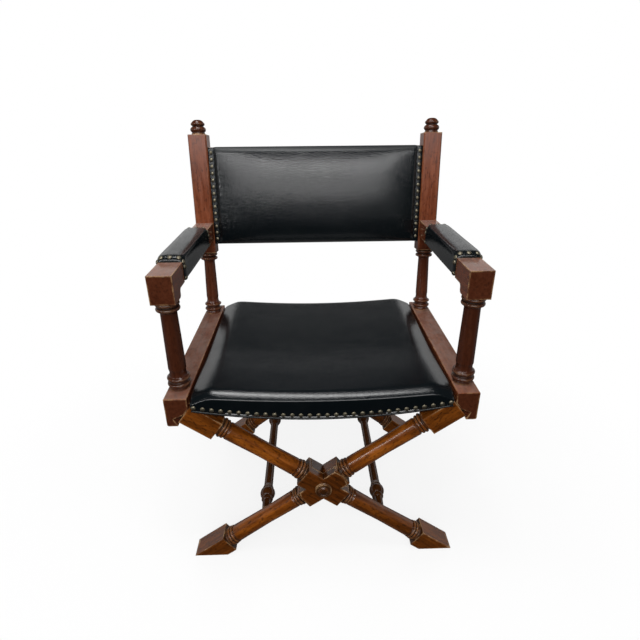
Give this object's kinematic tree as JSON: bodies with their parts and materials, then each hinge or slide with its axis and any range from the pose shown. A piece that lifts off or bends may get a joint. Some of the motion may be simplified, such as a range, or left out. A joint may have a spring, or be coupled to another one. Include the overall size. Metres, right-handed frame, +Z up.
{
  "type": "folding directors chair",
  "caption": "Directors armchair with turned crossed legs that fold on centre pivots, square-topped back posts with finials, padded arms, and a nailed black leather sling seat and back.",
  "frame": {"origin": "on the floor, in the middle of the chair's width and depth", "axes": "+Z up, the chair faces -Y, +X to the right in a front view"},
  "size_m": [0.6154, 0.4958, 0.8999],
  "materials": {
    "leg_wood": "aged satin varnish over orange brown wood",
    "post_wood": "aged satin varnish over red brown wood",
    "leather": "black grained leather with a soft gloss",
    "lining": "matt black backing leather",
    "nail_brass": "darkened brass nail heads",
    "steel": "dull steel"
  },
  "bodies": {
    "leg_frame_a": {"boss_front": "leg_wood", "boss_rear": "leg_wood", "leg_front_a": "leg_wood", "leg_rear_a": "leg_wood", "pivot_bolt_front": "steel", "pivot_bolt_rear": "steel", "pivot_nuts": "steel", "pivot_washers": "steel", "stretcher_right": "leg_wood"},
    "leg_frame_b": {"leg_front_b": "leg_wood", "leg_rear_b": "leg_wood", "stretcher_left": "leg_wood"},
    "left_side": {"arm_left": "post_wood", "arm_nails_left": "nail_brass", "arm_pad_left": "leather", "back_batten_left": "post_wood", "back_cushion": "leather", "back_lining": "lining", "back_nails_left": "nail_brass", "back_post_left": "post_wood", "batten_screws_left": "steel", "finial_left": "post_wood", "front_post_left": "post_wood", "leg_pins_left": "steel", "rail_left": "post_wood", "seat_batten_left": "post_wood", "seat_cushion": "leather", "seat_nails_front": "nail_brass", "seat_nails_rear": "nail_brass", "seat_sling": "lining", "seat_welt": "leather"},
    "right_side": {"arm_nails_right": "nail_brass", "arm_pad_right": "leather", "arm_right": "post_wood", "back_batten_right": "post_wood", "back_nails_right": "nail_brass", "back_post_right": "post_wood", "batten_screws_right": "steel", "finial_right": "post_wood", "front_post_right": "post_wood", "leg_pins_right": "steel", "rail_right": "post_wood", "seat_batten_right": "post_wood"}
  },
  "joints": [
    {"name": "fold", "type": "hinge", "parent": "left_side", "child": "leg_frame_a", "pos_m": [-0.2714, -0.00864, 0.3927], "axis": [0, 1, 0], "range_deg": [0, 28], "deforming": ["seat_cushion", "seat_sling", "seat_welt", "seat_nails_front", "seat_nails_rear", "back_cushion", "back_lining"]},
    {"name": "crossing_hinge", "type": "hinge", "parent": "leg_frame_a", "child": "leg_frame_b", "pos_m": [0, -0.00864, 0.1904], "axis": [0, 1, 0], "range_deg": [-56, 0]},
    {"name": "right_rail_hinge", "type": "hinge", "parent": "leg_frame_b", "child": "right_side", "pos_m": [0.2714, -0.00864, 0.3927], "axis": [0, 1, 0], "range_deg": [0, 28]}
  ],
  "couplings": [
    {"joint": "crossing_hinge", "follows": "fold", "ratio": -2},
    {"joint": "right_rail_hinge", "follows": "fold", "ratio": 1}
  ]
}
